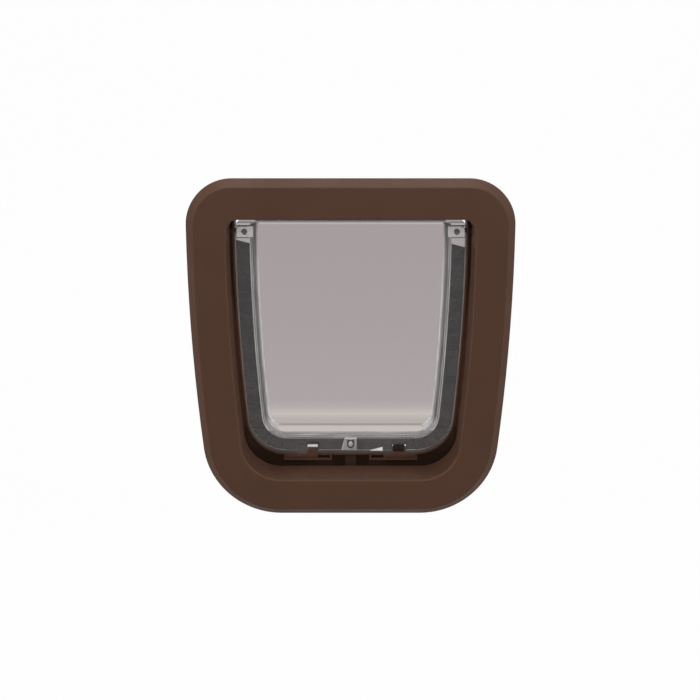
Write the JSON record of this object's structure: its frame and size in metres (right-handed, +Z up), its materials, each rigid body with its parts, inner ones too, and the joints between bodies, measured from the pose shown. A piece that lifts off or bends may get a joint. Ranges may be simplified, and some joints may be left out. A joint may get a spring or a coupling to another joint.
{
  "type": "cat flap",
  "caption": "Cat flap for a house door: rounded brown frames around a passage, a clear dished flap hung on pins with pile seals, and slide catches along its sill.",
  "frame": {"origin": "middle of the frame's outline, in the plane where the outside frame's rim meets the door", "axes": "+X to the right seen from outside, +Y through the door from outside to inside, +Z up"},
  "size_m": [0.233, 0.062, 0.25],
  "materials": {
    "frame_plastic": "satin moulded brown",
    "catch_plastic": "satin moulded brown",
    "clear_plastic": "clear polished",
    "seal_pile": "short dark grey pile",
    "screw_steel": "plated",
    "pin_steel": "drawn",
    "slug_steel": "dull mauve-grey",
    "magnet_metal": "dull grey"
  },
  "bodies": {
    "frames": {"front_frame": "frame_plastic", "rear_frame": "frame_plastic", "frame_screws": "screw_steel", "frame_magnet": "magnet_metal"},
    "flap": {"flap_panel": "clear_plastic", "flap_slug": "slug_steel", "seal_strip_left": "seal_pile", "seal_strip_right": "seal_pile", "hinge_pin_left": "pin_steel", "hinge_pin_right": "pin_steel"},
    "left_catch": {"catch_left": "catch_plastic"},
    "right_catch": {"catch_right": "catch_plastic"}
  },
  "joints": [
    {"name": "flap_swing", "type": "hinge", "parent": "frames", "child": "flap", "pos_m": [0, 0.0272, 0.0835], "axis": [1, 0, 0], "range_deg": [-80, 80]},
    {"name": "catch_left_slide", "type": "slide", "parent": "frames", "child": "left_catch", "axis": [1, 0, 0], "range_m": [0, 0.009]},
    {"name": "catch_right_slide", "type": "slide", "parent": "frames", "child": "right_catch", "axis": [-1, 0, 0], "range_m": [0, 0.009]}
  ]
}
